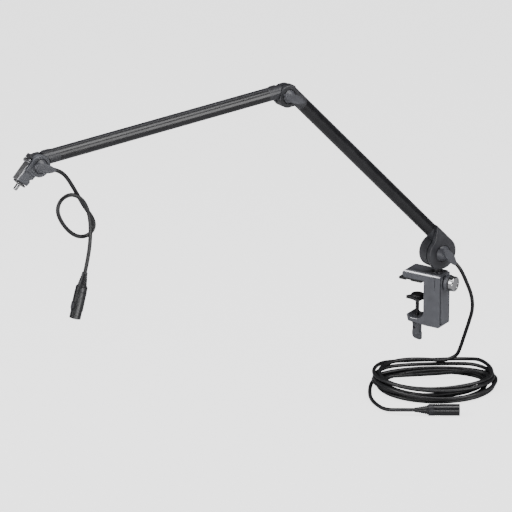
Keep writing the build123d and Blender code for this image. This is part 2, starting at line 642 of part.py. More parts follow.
def head_pin():
    pin = rod_y(HEAD_PIN_R, -BLOCK_HALF - 1.2, BLOCK_HALF + 1.2, x=HEAD_PLATE_START + 1, z=BLOCK_HIGH_Z + 3.2)
    return fillet(pin.edges(), 0.5)


def head_stop():
    """Small ribbed grip on the plate's upper end."""
    z0 = BLOCK_HIGH_Z + 2.0
    body = block(HEAD_PLATE_START - 9, HEAD_PLATE_START - 2.2, -4, 4, z0, z0 + 5.6)
    body = fillet(body.edges().filter_by(Axis.Y), 0.9)
    for step in range(3):
        x = HEAD_PLATE_START - 7.6 + 2 * step
        body -= block(x - 0.4, x + 0.4, -5, 5, z0 + 5, z0 + 7)
    return body


def stud_flange():
    disc = rod_x(FLANGE_R, BLOCK_X[1], BLOCK_X[1] + FLANGE_T, z=STUD_Z)
    disc = fillet(disc.edges(), 0.4)
    return disc - rod_x(STUD_SHANK_R, BLOCK_X[1] - 1, BLOCK_X[1] + 5, z=STUD_Z)


def mic_stud():
    start = BLOCK_X[1] + FLANGE_T
    stud = rod_x(STUD_R, start, start + STUD_LONG, z=STUD_Z)
    stud = chamfer(stud.faces().sort_by(Axis.X)[-1].edges(), 0.7)
    return stud + rod_x(STUD_SHANK_R, BLOCK_X[1] - STUD_SHANK_LONG, start + 1, z=STUD_Z)


# --- Cable ---------------------------------------------------------------------------------------------


def corner_radii(points):
    """Radius at each inner point: 0.45 of the shorter run over the tangent of half the turn."""
    radii = []
    for before, at, after in zip(points, points[1:], points[2:]):
        into = Vector(*at) - Vector(*before)
        out = Vector(*after) - Vector(*at)
        half_turn = radians(into.get_angle(out) / 2)
        radii.append(0.45 * min(into.length, out.length) / tan(half_turn))
    return radii


def cord_tube(name, points, place=Location()):
    """Round cable along straight runs joined by tangent arcs."""
    radii = corner_radii(points)
    path = FilletPolyline(*points, radius=radii)
    section = Plane(path @ 0, z_dir=path % 0) * Circle(CABLE_R)
    cord = sweep(section, path=path)
    share = cord.volume / (pi * CABLE_R**2 * path.length)
    print(name, "length", round(path.length), "volume share", round(share, 3))
    print("   radii", [round(radius) for radius in radii])
    keep(name, place, cord)
    return path.length


def lead_in(place, face, run):
    """The first two points of a cable that leaves a gland or a boot straight."""
    return [tuple((place * Pos(x, 0, 0)).position) for x in (face, face + run)]


# Short lead at the head, in HANG: x along the arm, y towards the knobs, z up, from the head's pivot
SOCKET_AT = (-83.1, -2.0, -189.2)
SOCKET_LEAN = 15.7
SOCKET = Pos(*SOCKET_AT) * Rot(0, 90 - SOCKET_LEAN, 0)
PIGTAIL = [
    *lead_in(Rot(0, -UPPER_RISE, 0) * HEAD_GLAND, GLAND_LONG, 16),
    (-55.0, -8.0, -30.0),
    (-73.0, -11.0, -58.0),
    (-90.0, -12.5, -88.0),
    (-106.5, -12.8, -110.5),
    (-108.5, -12.6, -126.5),
    (-96.0, -12.2, -136.5),
    (-77.5, -11.5, -134.0),
    (-60.5, -10.5, -121.0),
    (-46.5, -9.2, -103.0),
    (-38.0, -8.0, -83.0),
    (-43.5, -6.0, -65.5),
    (-62.0, -4.0, -59.0),
    (-81.0, -2.5, -71.5),
    (-92.0, -2.0, -95.0),
    (-94.5, -1.5, -122.0),
    tuple((SOCKET * Pos(-30, 0, 0)).position),
    SOCKET_AT,
]

# Long cable from the first hinge down to the coil, then from the coil to the plug, in the object's frame
DROP = [
    *lead_in(ARM * GLAND, GLAND_LONG, 12),
    (53.5, 43.3, 15.0),
    (58.9, 55.6, -12.0),
    (62.7, 67.1, -38.5),
    (59.7, 76.7, -65.0),
    (50.7, 80.8, -91.0),
    (41.3, 83.4, -117.0),
    (32.0, 86.2, -143.0),
    (23.7, 88.5, FLOOR_Z + COIL_HIGH - 1.5),
]
CABLE_Z = FLOOR_Z + CABLE_R + 0.05
PLUG = Pos(60.6, -112.0, FLOOR_Z + CONNECTOR_R + 0.05) * Rot(0, 0, COIL_TURN)
TAIL = [
    (-44.8, -61.0, CABLE_Z),
    (-42.0, -76.0, CABLE_Z),
    (-32.0, -92.0, CABLE_Z),
    (-12.0, -109.0, CABLE_Z),
    (14.0, -124.5, CABLE_Z + 0.8),
    tuple((PLUG * Pos(-22, 0, 0)).position),
    tuple(PLUG.position),
]


def cable_coil():
    """Outer shape of the loose turns, as one ring."""
    ring = Ellipse(*COIL_OUTER) - Ellipse(*COIL_INNER)
    coil = extrude(ring, amount=COIL_HIGH)
    coil = fillet(coil.edges().filter_by_position(Axis.Z, COIL_HIGH - 0.01, COIL_HIGH + 0.01), 5)
    return Pos(*COIL_CENTRE, FLOOR_Z) * Rot(0, 0, COIL_TURN) * coil


# --- Connectors: along +X from the cable end -----------------------------------------------------------


def boot():
    """Tapered rubber sleeve with ribs."""
    body = turned((0, 4.2), (1.5, 4.6), (BOOT_LONG, 7.6))
    for step in range(4):
        x = 5 + 4 * step
        body -= rod_x(20, x, x + 1.2) - rod_x(3.6 + 0.145 * x, x - 1, x + 3)
    return body


def collar():
    ring = rod_x(CONNECTOR_R - 0.3, BOOT_LONG, BOOT_LONG + COLLAR_LONG)
    ring = fillet(ring.edges(), 0.8)
    return ring - rod_x(6.5, BOOT_LONG - 1, BOOT_LONG + COLLAR_LONG + 1)


def shell(bore, grooves):
    """Round metal barrel, open at its mouth."""
    start = BOOT_LONG + COLLAR_LONG
    body = rod_x(CONNECTOR_R, start, CONNECTOR_LONG)
    body = fillet(body.edges(), 0.6)
    for x in grooves:
        body -= rod_x(CONNECTOR_R + 2, x, x + 1.2) - rod_x(CONNECTOR_R - 0.6, x - 1, x + 3)
    return body - rod_x(bore, start + 4, CONNECTOR_LONG + 1) - rod_x(6.5, start - 1, start + 5)


def pin_places():
    return [(PIN_CIRCLE_R * sin(radians(a)), PIN_CIRCLE_R * cos(radians(a))) for a in (0, 120, 240)]


def plug_insert():
    insert = rod_x(8.2, 48, 56)
    for y, z in pin_places():
        insert -= rod_x(PIN_R, 47, 57, y=y, z=z)
    return insert


def plug_pins():
    pins = [rod_x(PIN_R, 45, 69, y=y, z=z) for y, z in pin_places()]
    return [chamfer(pin.faces().sort_by(Axis.X)[-1].edges(), 0.4) for pin in pins]


def socket_insert():
    insert = rod_x(7.4, 46, 70.5)
    insert = chamfer(insert.faces().sort_by(Axis.X)[-1].edges(), 0.6)
    for y, z in pin_places():
        insert -= rod_x(PIN_R + 0.15, 52, 72, y=y, z=z)
    return insert - LATCH_ROOM


LATCH_ROOM = block(LATCH_X[0] - 0.4, LATCH_X[1] + 0.4, -LATCH_HALF - 0.4, LATCH_HALF + 0.4, 6.0, 12)


def socket_shell():
    """Barrel with a slimmer nose and the opening for the latch."""
    band = rod_x(CONNECTOR_R + 1, NOSE_X, CONNECTOR_LONG + 1) - rod_x(NOSE_R, NOSE_X - 1, CONNECTOR_LONG + 2)
    return shell(7.4, (37.5,)) - LATCH_ROOM - band


def latch_button():
    """Push button that frees the mating plug."""
    body = block(LATCH_X[0], LATCH_X[1], -LATCH_HALF, LATCH_HALF, LATCH_LOW, CONNECTOR_R + LATCH_PROUD)
    body = fillet(body.edges().filter_by(Axis.Z), 1.2)
    return fillet(body.faces().sort_by(Axis.Z)[-1].edges(), 0.6)


def socket_contacts():
    return [rod_x(PIN_R, 42, 52, y=y, z=z) for y, z in pin_places()]


def socket_back():
    insert = socket_insert()
    for y, z in pin_places():
        insert -= rod_x(PIN_R, 45, 53, y=y, z=z)
    return insert


def make_clamp():
    keep("clamp_frame", Location(), clamp_frame())
    keep("clamp_top_cover", Location(), clamp_top_cover())
    keep("clamp_rear_cover", Location(), clamp_rear_cover())
    keep("upper_jaw_pad", Location(), upper_jaw_pad())
    keep("clamp_nut", Location(), clamp_nut())
    keep("post_bush", Location(), post_bush())
    keep("pressure_plate", Rot(0, 0, GRIP_TURN), pressure_plate())
    keep("pressure_pad", Location(), pressure_pad())
    keep("clamp_screw", Location(), clamp_screw())
    keep("clamp_grip", Rot(0, 0, GRIP_TURN), clamp_grip())
    keep("post_lock_tip", Location(), lock_tip())
    keep("post_lock_screw", Location(), lock_screw())
    keep("post_lock_knob", Location(), lock_knob())
    keep("post_lock_ring", Location(), lock_ring())
    keep("post_lock_cap", Location(), lock_cap())


def make_knobs():
    """Each hinge has a bolt, a friction washer and a wing knob."""
    base_turn = ARM * Rot(0, -BASE_KNOB_TURN, 0)
    elbow_turn = ELBOW * Rot(0, LOWER_RISE - ELBOW_KNOB_TURN, 0)
    head_turn = HANG * Rot(0, -HEAD_KNOB_TURN, 0)
    hinges = {
        "base": (base_turn, -BASE_HALF, BASE_HALF, BASE_KNOB_OUT, BASE_R, BASE_GAP_Y - HALF_GAP - WASHER_GAP),
        "elbow": (elbow_turn, -TUBE_R, TUBE_R, ELBOW_KNOB_OUT, ELBOW_R, -WASHER_GAP),
        "head": (head_turn, -TUBE_R, TUBE_R - 0.4, HEAD_KNOB_OUT, HEAD_R, -WASHER_GAP),
    }
    for name, (place, rear_y, face_y, out, disc_r, washer_y) in hinges.items():
        hub_r = BASE_KNOB_HUB_R if name == "base" else KNOB_HUB_R
        washer_r = disc_r - (6 if name == "base" else 3)
        keep(f"{name}_wing_knob", place, wing_knob(face_y, out, hub_r))
        keep(f"{name}_hinge_bolt", place, hinge_bolt(rear_y, face_y))
        keep(f"{name}_friction_washer", place, friction_washer(washer_r, washer_y))


def make_arm():
    keep("base_post", Location(), base_post())
    keep("base_neck_nut", Location(), neck_nut())
    keep("base_hinge_head", ARM, base_hinge_head())
    keep("cable_gland", ARM * GLAND, cable_gland())
    keep("lower_base_fitting", LOWER, lower_base_fitting())
    lower_end = LOWER_SPAN - ELBOW_TUBE_START
    keep("lower_tube", LOWER, tube(BASE_TUBE_START, lower_end, BASE_RISE_Z))
    keep("lower_elbow_fitting", ELBOW, lower_elbow_fitting())
    keep("lower_cable_cover", LOWER, lower_cover())
    keep("lower_inner_cable", LOWER, rod_x(CABLE_R, BASE_TUBE_START, lower_end, z=BASE_RISE_Z))
    upper_end = UPPER_SPAN - HEAD_TUBE_START
    keep("upper_elbow_fitting", UPPER, upper_elbow_fitting())
    keep("upper_tube", UPPER, tube(ELBOW_TUBE_START, upper_end, ELBOW_RISE_Z))
    keep("upper_head_fitting", WRIST, upper_head_fitting())
    keep("upper_cable_cover", UPPER, upper_cover())
    keep("upper_inner_cable", UPPER, rod_x(CABLE_R, ELBOW_TUBE_START, upper_end, z=ELBOW_RISE_Z))


def make_head():
    keep("head_cheek", HEAD, head_cheek())
    keep("head_face_plate", HEAD, head_plate())
    keep("head_plate_pin", HEAD, head_pin())
    keep("head_plate_grip", HEAD, head_stop())
    keep("stud_flange", HEAD, stud_flange())
    keep("mic_stud", HEAD, mic_stud())


def make_cables():
    keep("pigtail_gland", WRIST * HEAD_GLAND, cable_gland())
    cord_tube("pigtail_cable", PIGTAIL, HANG)
    cord_tube("drop_cable", DROP)
    cord_tube("tail_cable", TAIL)
    keep("cable_coil", Location(), cable_coil())


def make_connectors():
    keep("socket_boot", HANG * SOCKET, boot())
    keep("socket_collar", HANG * SOCKET, collar())
    keep("socket_shell", HANG * SOCKET, socket_shell())
    keep("socket_insert", HANG * SOCKET, socket_back())
    keep("socket_contacts", HANG * SOCKET, *socket_contacts())
    keep("socket_latch_button", HANG * SOCKET, latch_button())
    keep("plug_boot", PLUG, boot())
    keep("plug_collar", PLUG, collar())
    keep("plug_shell", PLUG, shell(8.2, (33.0, 36.0, 39.0)))
    keep("plug_insert", PLUG, plug_insert())
    keep("plug_pins", PLUG, *plug_pins())


make_clamp()
make_knobs()
make_arm()
make_head()
make_cables()
make_connectors()
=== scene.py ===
# %% [markdown]
# # A two-section boom arm on a desk clamp
# The metal and plastic parts arrive as an imported model, and stay in place. This script adds what a
# solid modeller leaves out: the cables, screw threads, rubber sleeves and fluted grips, and the finish of
# every surface. Each step says what the real piece is, how it could be made, and why this way was chosen.

# %% Load the frame
import json
import math

import bmesh
import bpy
from mathutils import Matrix, Vector
from mathutils.kdtree import KDTree


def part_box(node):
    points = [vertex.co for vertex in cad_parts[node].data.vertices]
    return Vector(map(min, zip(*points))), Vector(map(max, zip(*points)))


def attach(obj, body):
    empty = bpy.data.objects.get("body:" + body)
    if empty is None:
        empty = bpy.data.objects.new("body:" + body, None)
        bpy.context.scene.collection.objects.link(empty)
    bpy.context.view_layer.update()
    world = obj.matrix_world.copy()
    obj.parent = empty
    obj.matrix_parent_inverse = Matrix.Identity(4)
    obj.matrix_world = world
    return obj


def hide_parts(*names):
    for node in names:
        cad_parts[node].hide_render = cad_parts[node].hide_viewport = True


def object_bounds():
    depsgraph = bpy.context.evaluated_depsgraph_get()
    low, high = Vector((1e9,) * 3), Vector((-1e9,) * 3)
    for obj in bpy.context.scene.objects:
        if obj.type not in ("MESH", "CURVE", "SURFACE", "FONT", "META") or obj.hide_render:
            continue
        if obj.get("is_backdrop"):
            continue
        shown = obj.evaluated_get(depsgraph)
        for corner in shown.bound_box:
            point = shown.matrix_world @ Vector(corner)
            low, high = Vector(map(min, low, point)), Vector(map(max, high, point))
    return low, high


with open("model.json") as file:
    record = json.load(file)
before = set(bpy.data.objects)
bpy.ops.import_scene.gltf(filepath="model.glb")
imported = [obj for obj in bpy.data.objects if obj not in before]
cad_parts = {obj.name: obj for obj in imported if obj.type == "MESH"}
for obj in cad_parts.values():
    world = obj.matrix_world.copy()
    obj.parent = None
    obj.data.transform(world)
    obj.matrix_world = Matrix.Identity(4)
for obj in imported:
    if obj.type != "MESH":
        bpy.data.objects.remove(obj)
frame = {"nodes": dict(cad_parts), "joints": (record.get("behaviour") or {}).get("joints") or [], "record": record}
cad_box = [list(corner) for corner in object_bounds()]
print(len(frame["nodes"]), "nodes, from", cad_box[0], "to", cad_box[1])

# %% [markdown]
# ## Where things are
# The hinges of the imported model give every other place. The arm folds in one upright plane, so one axis
# across that plane, with the three pivots, is enough to build a local frame for each section.

# %% Frames at the pivots
MM = 0.001
JOINTS = {joint["name"]: joint for joint in frame["joints"]}
hinge_axis = Vector(JOINTS["shoulder"]["axis"])
along = hinge_axis.cross(Vector((0, 0, 1)))


def frame_at(point):
    """Local frame with X along the arm's plane, Y along the hinge's axis and Z up."""
    turn = Matrix((along, hinge_axis, (0, 0, 1))).transposed().to_4x4()
    return Matrix.Translation(point) @ turn


def tilt(degrees):
    return Matrix.Rotation(math.radians(degrees), 4, "Y")


def shift(x=0.0, y=0.0, z=0.0):
    return Matrix.Translation((x * MM, y * MM, z * MM))


SHOULDER = frame_at(JOINTS["shoulder"]["pos_m"])
ELBOW = frame_at(JOINTS["elbow"]["pos_m"])
WRIST = frame_at(JOINTS["head_tilt"]["pos_m"])
UPPER_FALL = 2.6
STUD_FALL = 45.0
HEAD = WRIST @ tilt(STUD_FALL)
print("arm runs towards", [round(c, 3) for c in along])

# %% [markdown]
# ## The camera
# A long lens far away keeps the arm's two sections close to their true proportions. The camera looks
# slightly down, from the front left.

# %% Camera
AZIMUTH = 31.6
ELEVATION = 20.4
DISTANCE = 7.5
LENS = 321.8
TARGET = Vector((-0.3046, 0, -0.0208))


def look_from(azimuth, elevation):
    a, e = math.radians(azimuth), math.radians(elevation)
    return Vector((math.sin(a) * math.cos(e), -math.cos(a) * math.cos(e), math.sin(e)))


camera = bpy.data.objects.new("camera", bpy.data.cameras.new("camera"))
bpy.context.scene.collection.objects.link(camera)
camera.data.lens = LENS
camera.data.sensor_width = 36
camera.data.clip_end = 50
back = look_from(AZIMUTH, ELEVATION)
camera.location = TARGET + DISTANCE * back
camera.rotation_euler = back.to_track_quat("Z", "Y").to_euler()
bpy.context.scene.camera = camera
print("camera at", [round(c, 3) for c in camera.location])

# %% [markdown]
# ## An effect that all finishes share
# Real surfaces are never one flat colour. A node group can be placed in any material with its own numbers.
# *Cast skin* gives the fine orange-peel bump of powder paint or moulded plastic together with a mask of
# cloudy patches, which the colour and the gloss follow.

# %% Shared node group


def new_group(name, inputs, outputs):
    group = bpy.data.node_groups.new(name, "ShaderNodeTree")
    for title, kind, value in inputs:
        socket = group.interface.new_socket(title, in_out="INPUT", socket_type=kind)
        if value is not None:
            socket.default_value = value
    for title, kind in outputs:
        group.interface.new_socket(title, in_out="OUTPUT", socket_type=kind)
    return group, group.nodes.new("NodeGroupInput"), group.nodes.new("NodeGroupOutput")


def cast_skin():
    """Fine bump, plus a mask of soft patches that material colours and gloss are mixed by."""
    group, given, result = new_group(
        "cast_skin",
        [
            ("Grain Scale", "NodeSocketFloat", 2500.0),
            ("Patch Scale", "NodeSocketFloat", 60.0),
            ("Bump", "NodeSocketFloat", 0.2),
        ],
        [("Normal", "NodeSocketVector"), ("Patches", "NodeSocketFloat")],
    )
    place = group.nodes.new("ShaderNodeTexCoord")
    grain = group.nodes.new("ShaderNodeTexNoise")
    grain.inputs["Detail"].default_value = 3
    patches = group.nodes.new("ShaderNodeTexNoise")
    patches.inputs["Detail"].default_value = 5
    bump = group.nodes.new("ShaderNodeBump")
    bump.inputs["Distance"].default_value = 0.0002
    link = group.links.new
    link(place.outputs["Object"], grain.inputs["Vector"])
    link(place.outputs["Object"], patches.inputs["Vector"])
    link(given.outputs["Grain Scale"], grain.inputs["Scale"])
    link(given.outputs["Patch Scale"], patches.inputs["Scale"])
    link(given.outputs["Bump"], bump.inputs["Strength"])
    link(grain.outputs["Fac"], bump.inputs["Height"])
    link(bump.outputs["Normal"], result.inputs["Normal"])
    link(patches.outputs["Fac"], result.inputs["Patches"])
    return group


CAST_SKIN = cast_skin()
print("group", CAST_SKIN.name, "has", len(CAST_SKIN.nodes), "nodes")

# %% [markdown]
# ## The finishes
# One small function makes every finish: a Principled shader whose colour and roughness move between two
# values by the patches, with the group's bump. What differs is the numbers: powder paint is satin with a
# coarse peel, moulded plastic is duller and finer, rubber is dull and dark, and steel is metallic.

# %% Finishes


def finish(name, dark, light, rough, metallic=0.0, grain=2500.0, bump=0.2):
    """Procedural finish: colour runs from dark to light and roughness over rough, by cloudy patches."""
    material = bpy.data.materials.new(name)
    material.use_nodes = True
    nodes, link = material.node_tree.nodes, material.node_tree.links.new
    shader = nodes["Principled BSDF"]
    skin = nodes.new("ShaderNodeGroup")
    skin.node_tree = CAST_SKIN
    skin.inputs["Grain Scale"].default_value = grain
    skin.inputs["Bump"].default_value = bump
    colour = nodes.new("ShaderNodeMix")
    colour.data_type = "RGBA"
    colour.inputs["A"].default_value = (*dark, 1)
    colour.inputs["B"].default_value = (*light, 1)
    spread = nodes.new("ShaderNodeMapRange")
    spread.inputs["From Min"].default_value = 0.3
    spread.inputs["From Max"].default_value = 0.7
    gloss = nodes.new("ShaderNodeMapRange")
    gloss.inputs["From Min"].default_value = 0.3
    gloss.inputs["From Max"].default_value = 0.7
    gloss.inputs["To Min"].default_value = rough[0]
    gloss.inputs["To Max"].default_value = rough[1]
    link(skin.outputs["Patches"], spread.inputs["Value"])
    link(spread.outputs["Result"], colour.inputs["Factor"])
    link(skin.outputs["Patches"], gloss.inputs["Value"])
    link(colour.outputs["Result"], shader.inputs["Base Color"])
    link(gloss.outputs["Result"], shader.inputs["Roughness"])
    link(skin.outputs["Normal"], shader.inputs["Normal"])
    shader.inputs["Metallic"].default_value = metallic
    return material


FINISHES = {
    "black_paint": finish("black_paint", (0.008, 0.008, 0.0095), (0.013, 0.013, 0.015), (0.22, 0.30), bump=0.12),
    "grey_cast": finish("grey_cast", (0.075, 0.077, 0.088), (0.098, 0.101, 0.115), (0.36, 0.46), bump=0.3),
    "grey_plastic": finish("grey_plastic", (0.058, 0.059, 0.068), (0.078, 0.080, 0.091), (0.34, 0.44), bump=0.25),
    "black_plastic": finish("black_plastic", (0.018, 0.018, 0.021), (0.028, 0.028, 0.033), (0.36, 0.46), bump=0.25),
    "black_rubber": finish(
        "black_rubber", (0.007, 0.007, 0.008), (0.013, 0.013, 0.015), (0.34, 0.46), grain=1500.0, bump=0.2
    ),
    "bright_steel": finish(
        "bright_steel", (0.42, 0.42, 0.44), (0.60, 0.60, 0.62), (0.22, 0.34), metallic=1.0, grain=900.0, bump=0.08
    ),
    "chrome": finish("chrome", (0.46, 0.46, 0.47), (0.58, 0.58, 0.59), (0.08, 0.16), metallic=1.0, bump=0.03),
}


# %% [markdown]
# ### A milled edge
# The clamp is cast, painted and then milled along its upper front edges, so a bright band of bare metal runs
# along each. The band is the only face of the frame that looks halfway between forwards and up. A mask made
# from the face's own direction finds it, and turns paint into metal there.

# %% Milled edge on the clamp


def milled_edge(material, colour, roughness):
    """Adds bare metal where a face looks equally up and sideways."""
    nodes, link = material.node_tree.nodes, material.node_tree.links.new
    shader = nodes["Principled BSDF"]
    facing = nodes.new("ShaderNodeNewGeometry")
    parts = nodes.new("ShaderNodeSeparateXYZ")
    sideways = nodes.new("ShaderNodeMath")
    sideways.operation = "ABSOLUTE"
    both = nodes.new("ShaderNodeMath")
    both.operation = "MULTIPLY"
    mask = nodes.new("ShaderNodeMapRange")
    mask.inputs["From Min"].default_value = 0.42
    mask.inputs["From Max"].default_value = 0.48
    link(facing.outputs["True Normal"], parts.inputs["Vector"])
    link(parts.outputs["Y"], sideways.inputs[0])
    link(parts.outputs["Z"], both.inputs[0])
    link(sideways.outputs["Value"], both.inputs[1])
    link(both.outputs["Value"], mask.inputs["Value"])
    for name, bare in (("Base Color", colour), ("Roughness", roughness)):
        painted = shader.inputs[name].links[0].from_socket
        mix = nodes.new("ShaderNodeMix")
        mix.data_type = "RGBA" if name == "Base Color" else "FLOAT"
        mix.inputs["B" if name == "Base Color" else 3].default_value = bare
        link(mask.outputs["Result"], mix.inputs[0])
        link(painted, mix.inputs["A" if name == "Base Color" else 2])
        link(mix.outputs["Result"], shader.inputs[name])
    link(mask.outputs["Result"], shader.inputs["Metallic"])
    return material


clamp_finish = finish("clamp_cast", (0.075, 0.077, 0.088), (0.098, 0.101, 0.115), (0.36, 0.46), bump=0.3)
milled_edge(clamp_finish, (0.62, 0.62, 0.64, 1), 0.3)

# %% [markdown]
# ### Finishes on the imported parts
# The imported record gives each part's finish. The clamp takes the one with the milled edge. The hinge
# castings are painted like the tubes, but paint on a rough casting scatters more light than on a drawn tube,
# so they get a greyer and duller black of their own. The knobs and the grip are grained grey plastic.

# %% Put the finishes on
casting_finish = finish("painted_casting", (0.026, 0.026, 0.030), (0.042, 0.043, 0.049), (0.32, 0.42), bump=0.3)
CASTINGS = ("base_hinge_head", "lower_base_fitting", "lower_elbow_fitting", "upper_elbow_fitting", "upper_head_fitting")
KNOBS = ("base_wing_knob", "elbow_wing_knob", "head_wing_knob", "clamp_grip")
OWN_FINISH = {"clamp_frame": clamp_finish}
OWN_FINISH.update({name: casting_finish for name in CASTINGS})
OWN_FINISH.update({name: FINISHES["grey_plastic"] for name in KNOBS})
SLOTS = {part["node"]: part["material_slot"] for part in frame["record"]["subparts"]}
for name, node in frame["nodes"].items():
    node.data.materials.clear()
    node.data.materials.append(OWN_FINISH.get(name, FINISHES[SLOTS[name]]))
print(len(FINISHES), "finishes on", len(SLOTS), "nodes")

# %% [markdown]
# ## The cables
# A microphone cable is a fixed length of rubber-covered wire that bends smoothly under its own weight. A
# NURBS curve with a round bevel is the natural tool: its control points are the cable's route and the curve
# does the bending. The long cable leaves the first hinge, falls behind the clamp, lies in a loose pile of
# turns, and ends in its plug.

# %% Cable tool
CABLE_R = 3.1 * MM


def lay_cable(name, points, body, nodes):
    curve = bpy.data.curves.new(name, "CURVE")
    curve.dimensions = "3D"
    curve.bevel_depth = CABLE_R
    curve.bevel_resolution = 4
    curve.resolution_u = 10
    curve.use_fill_caps = True
    spline = curve.splines.new("NURBS")
    spline.points.add(len(points) - 1)
    for point, place in zip(spline.points, points):
        point.co = (*place, 1)
    spline.order_u = 3
    spline.use_endpoint_u = True
    cable = bpy.data.objects.new(name, curve)
    bpy.context.scene.collection.objects.link(cable)
    curve.materials.append(FINISHES["black_rubber"])
    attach(cable, body)
    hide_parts(*nodes)
    print(name, "has", len(points), "control points, about", round(spline.calc_length(resolution=20), 3), "m")
    return cable


# %% Short lead at the head
GLAND_LONG = 9.6
HEAD_R = 17.0
HEAD_GLAND_DROP = 32.0
SOCKET_LEAN = 15.7
gland_place = shift(
    -HEAD_R * math.cos(math.radians(HEAD_GLAND_DROP)), -5.2, -HEAD_R * math.sin(math.radians(HEAD_GLAND_DROP))
)
HEAD_GLAND = WRIST @ tilt(UPPER_FALL) @ gland_place @ tilt(188 - HEAD_GLAND_DROP)
SOCKET = WRIST @ shift(-83.1, -2.0, -189.2) @ tilt(90 - SOCKET_LEAN)
HANGING = [
    (-55.0, -8.0, -30.0),
    (-73.0, -11.0, -58.0),
    (-90.0, -12.5, -88.0),
    (-106.5, -12.8, -110.5),
    (-108.5, -12.6, -126.5),
    (-96.0, -12.2, -136.5),
    (-77.5, -11.5, -134.0),
    (-60.5, -10.5, -121.0),
    (-46.5, -9.2, -103.0),
    (-38.0, -8.0, -83.0),
    (-43.5, -6.0, -65.5),
    (-62.0, -4.0, -59.0),
    (-81.0, -2.5, -71.5),
    (-92.0, -2.0, -95.0),
    (-94.5, -1.5, -122.0),
]
lead_route = [HEAD_GLAND @ Vector((x * MM, 0, 0)) for x in (GLAND_LONG, GLAND_LONG + 16)]
lead_route += [WRIST @ (Vector(place) * MM) for place in HANGING]
lead_route += [SOCKET @ Vector((x * MM, 0, 0)) for x in (-30, 0)]
short_lead = lay_cable("short_lead", lead_route, "upper_arm", ["pigtail_cable"])

# %% Long cable: fall, turns and tail
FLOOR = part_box("cable_coil")[0].z
BASE_R = 26.5
GLAND_DROP = 10.0
GLAND_AIM = 63.0
base_gland_place = shift(
    -BASE_R * math.cos(math.radians(GLAND_DROP)), -9.4, -BASE_R * math.sin(math.radians(GLAND_DROP))
)
BASE_GLAND = SHOULDER @ base_gland_place @ tilt(180 - GLAND_AIM)
COIL_TURN = 31.6
COIL_MIDDLE = Matrix.Translation((22.0 * MM, 18.0 * MM, FLOOR)) @ Matrix.Rotation(math.radians(COIL_TURN), 4, "Z")
FALL = [
    (53.5, 43.3, 15.0),
    (58.9, 55.6, -12.0),
    (62.7, 67.1, -38.5),
    (59.7, 76.7, -65.0),
    (50.7, 80.8, -91.0),
    (41.3, 83.4, -117.0),
    (32.0, 86.2, -143.0),
    (25.0, 87.5, -158.0),
]
TAIL = [
    (-58.0, -49.5, -181.85),
    (-43.0, -76.0, -181.85),
    (-31.0, -93.0, -181.85),
    (-12.0, -110.0, -181.85),
    (14.0, -124.5, -181.05),
]
PLUG = Matrix.Translation((60.6 * MM, -112.0 * MM, FLOOR + 9.55 * MM))
PLUG = PLUG @ Matrix.Rotation(math.radians(COIL_TURN), 4, "Z")

# %% [markdown]
# ### Turns that lie on each other
# Loose turns never match: each has its own length, depth and lean, so they cross, and where one crosses
# another it has to climb over it. First each turn is drawn in plan view by a loop. Then the pile is settled:
# a search tree finds every strand that passes under another, the upper one is lifted just clear of it, and
# the lift is smoothed into a long low hump. A few rounds of this are enough for the heights to stop moving.

# %% Turns in plan view
TURNS = 7.27
TURN_POINTS = 24
FIRST_ANGLE = 75
HALF_LENGTH = (85, 98, 96, 103, 84, 83, 87, 100, 104)
BACK_DEPTH = (64, 92, 65, 51, 27, 43, 48, 57, 58)
FRONT_DEPTH = (57, 71, 80, 92, 59, 76, 73, 91, 89)
LEAN = (3, -7, 5, 0, 3, 4, 1, 0, 0)


def blend(a, b, share):
    return a + (b - a) * share


def by_turn(values, turn):
    """Value of a turn, moving steadily to the next turn's."""
    number = min(int(turn), len(values) - 2)
    return blend(values[number], values[number + 1], turn - number)


def plan_point(turn):
    angle = math.radians(FIRST_ANGLE) + 2 * math.pi * turn
    ripple = 1 + 0.01 * math.sin(2.6 * angle + 1.3)
    depth = BACK_DEPTH if math.sin(angle) > 0 else FRONT_DEPTH
    place = Vector((by_turn(HALF_LENGTH, turn) * math.cos(angle), by_turn(depth, turn) * math.sin(angle), 0))
    return Matrix.Rotation(math.radians(by_turn(LEAN, turn)), 3, "Z") @ place * ripple * MM


# %% Settling the pile
BETWEEN = 5
APART = 2 * CABLE_R + 0.2 * MM
LOWEST = CABLE_R + 0.05 * MM
NEXT_TO = 6
ROUNDS = 14


def on_curve(values):
    """Values on the smooth curve that the control values make, BETWEEN of them near each inner one."""
    for before, at, after in zip(values, values[1:], values[2:]):
        for step in range(BETWEEN):
            u = step / BETWEEN
            yield (1 - u) ** 2 / 2 * before + (0.5 + u - u * u) * at + u * u / 2 * after


def crossings(points):
    """Pairs of samples, the first lying on the second, with the lift that keeps them apart."""
    samples = list(on_curve(points))
    tree = KDTree(len(samples))
    for number, place in enumerate(samples):
        tree.insert(place, number)
    tree.balance()
    for upper, place in enumerate(samples):
        for _, lower, distance in tree.find_range(place, APART):
            if lower // BETWEEN - upper // BETWEEN >= NEXT_TO:
                yield upper, lower, math.sqrt(APART**2 - distance**2)


def settled(points):
    pairs = list(crossings(points))
    heights = [LOWEST] * len(points)
    for _ in range(ROUNDS):
        samples = list(on_curve(heights))
        needed = [LOWEST] * len(points)
        for upper, lower, lift in pairs:
            middle = 1 + upper // BETWEEN
            for near in (middle - 1, middle, middle + 1):
                needed[near] = max(needed[near], samples[lower] + lift)
        heights = needed
        for _ in range(10):
            smooth = [(a + 2 * b + c) / 4 for a, b, c in zip(heights, heights[1:], heights[2:])]
            heights = [heights[0], *map(max, needed[1:], smooth), heights[-1]]
    print(len(pairs), "places where strands meet; the pile is", round((max(heights) + CABLE_R) / MM, 1), "mm high")
    return heights


